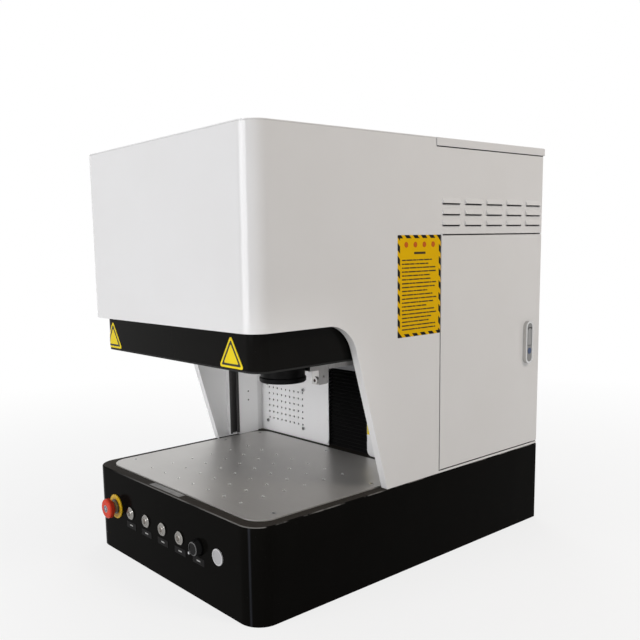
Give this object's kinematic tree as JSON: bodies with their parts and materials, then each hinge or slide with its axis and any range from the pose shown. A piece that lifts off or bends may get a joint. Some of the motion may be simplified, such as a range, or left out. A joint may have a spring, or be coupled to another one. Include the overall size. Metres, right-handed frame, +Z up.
{
  "type": "enclosed desktop engraving machine",
  "caption": "Enclosed desktop engraving machine: black base with drilled work table, white hood, lifting safety door, scanning head on a height axis and rear cabinet.",
  "frame": {"origin": "centre of the base's underside", "axes": "+X to the right as seen from the front, +Y from the front to the back, +Z up"},
  "size_m": [0.5533, 0.8283, 0.805],
  "materials": {
    "gloss_black": "gloss enamel",
    "floor_steel": "zinc-plated",
    "table_steel": "brushed",
    "white_enamel": "satin enamel",
    "screw_steel": "plated",
    "dark_channel": "black anodised",
    "cylinder_alu": "clear anodised",
    "door_black": "gloss black",
    "seal_rubber": "matt",
    "column_steel": "grey enamel",
    "motor_black": "satin black",
    "head_black": "black anodised",
    "bellows_cloth": "coated cloth",
    "fan_plastic": "moulded",
    "guard_wire": "plated",
    "source_grey": "dark anodised",
    "supply_case": "plated",
    "stop_yellow": "moulded",
    "stop_grey": "moulded",
    "stop_red": "moulded",
    "button_chrome": "polished",
    "plug_white": "moulded",
    "lock_silver": "satin chrome",
    "lock_blue": "moulded"
  },
  "bodies": {
    "machine_frame": {"base_housing": "gloss_black", "base_floor": "floor_steel", "work_table": "table_steel", "table_bearers": "floor_steel", "table_screws": "screw_steel", "hood_shell": "white_enamel", "hood_top": "white_enamel", "vent_louvres": "white_enamel", "top_lid": "white_enamel", "rear_panel": "white_enamel", "back_wall_left": "white_enamel", "back_wall_right": "white_enamel", "exhaust_cover": "white_enamel", "cover_screws": "screw_steel", "door_rails": "dark_channel", "rail_posts": "white_enamel", "lift_cylinders": "cylinder_alu", "z_column": "column_steel", "z_rails": "screw_steel", "z_motor": "motor_black", "bellows_lower": "bellows_cloth", "bellows_upper": "bellows_cloth", "exhaust_fan": "motor_black", "exhaust_duct": "column_steel", "outlet_guard": "guard_wire", "mains_inlet": "fan_plastic", "laser_source": "source_grey", "power_supply": "supply_case", "control_box": "source_grey", "estop_ring": "stop_yellow", "estop_collar": "stop_grey", "button_bezels": "button_chrome", "hole_plug": "plug_white", "hinge_pins": "screw_steel"},
    "lift_door": {"door_shroud": "door_black", "door_seal": "seal_rubber", "door_sliders": "screw_steel", "lift_rods": "cylinder_alu"},
    "scan_head": {"z_carriage": "cylinder_alu", "z_blocks": "motor_black", "head_arm": "cylinder_alu", "beam_tube": "head_black", "galvo_box": "head_black", "scan_lens": "head_black", "pointer_bracket": "cylinder_alu", "pointer": "cylinder_alu"},
    "lead_screw": {"z_screw": "screw_steel"},
    "fan_wheel": {"fan_rotor": "fan_plastic"},
    "stop_stem": {"estop_stem": "stop_grey"},
    "stop_head": {"estop_head": "stop_red"},
    "push_button_1": {"button_1": "button_chrome"},
    "push_button_2": {"button_2": "button_chrome"},
    "push_button_3": {"button_3": "button_chrome"},
    "push_button_4": {"button_4": "button_chrome"},
    "turn_knob": {"knob": "fan_plastic"},
    "cabinet_door": {"service_door": "white_enamel", "lock_body": "lock_silver"},
    "flip_handle": {"lock_handle": "lock_silver"},
    "unlock_button": {"lock_button": "lock_blue"}
  },
  "joints": [
    {"name": "door_lift", "type": "slide", "parent": "machine_frame", "child": "lift_door", "axis": [0, 0, 1], "range_m": [-0.241, 0]},
    {"name": "head_lift", "type": "slide", "parent": "machine_frame", "child": "scan_head", "axis": [0, 0, 1], "range_m": [-0.115, 0.2], "deforming": ["bellows_lower", "bellows_upper"]},
    {"name": "screw_turn", "type": "hinge", "parent": "machine_frame", "child": "lead_screw", "pos_m": [0.026, 0.09, 0.4], "axis": [0, 0, 1], "continuous": true},
    {"name": "fan_spin", "type": "hinge", "parent": "machine_frame", "child": "fan_wheel", "pos_m": [-0.1765, 0.07, 0.241], "axis": [0, 1, 0], "continuous": true},
    {"name": "stop_press", "type": "slide", "parent": "machine_frame", "child": "stop_stem", "axis": [0, 1, 0], "range_m": [0, 0.004], "stiffness_N_per_m": 1500},
    {"name": "stop_twist", "type": "hinge", "parent": "stop_stem", "child": "stop_head", "pos_m": [-0.1845, -0.41, 0.0965], "axis": [0, 1, 0], "range_deg": [0, 45], "stiffness_Nm_per_rad": 0.06},
    {"name": "button_1_press", "type": "slide", "parent": "machine_frame", "child": "push_button_1", "axis": [0, 1, 0], "range_m": [0, 0.002], "stiffness_N_per_m": 1200},
    {"name": "button_2_press", "type": "slide", "parent": "machine_frame", "child": "push_button_2", "axis": [0, 1, 0], "range_m": [0, 0.002], "stiffness_N_per_m": 1200},
    {"name": "button_3_press", "type": "slide", "parent": "machine_frame", "child": "push_button_3", "axis": [0, 1, 0], "range_m": [0, 0.002], "stiffness_N_per_m": 1200},
    {"name": "button_4_press", "type": "slide", "parent": "machine_frame", "child": "push_button_4", "axis": [0, 1, 0], "range_m": [0, 0.002], "stiffness_N_per_m": 1200},
    {"name": "knob_turn", "type": "hinge", "parent": "machine_frame", "child": "turn_knob", "pos_m": [0.1105, -0.41, 0.0965], "axis": [0, 1, 0], "range_deg": [0, 270]},
    {"name": "cabinet_door_swing", "type": "hinge", "parent": "machine_frame", "child": "cabinet_door", "pos_m": [0.26395, 0.06855, 0.4], "axis": [0, 0, -1], "range_deg": [0, 105]},
    {"name": "handle_flip", "type": "hinge", "parent": "cabinet_door", "child": "flip_handle", "pos_m": [0.2754, 0.3525, 0.42795], "axis": [0, -1, 0], "range_deg": [0, 40]},
    {"name": "unlock_press", "type": "slide", "parent": "cabinet_door", "child": "unlock_button", "axis": [-1, 0, 0], "range_m": [0, 0.002], "stiffness_N_per_m": 600}
  ],
  "couplings": [
    {"joint": "screw_turn", "follows": "head_lift", "rad_per_m": -628.32}
  ]
}
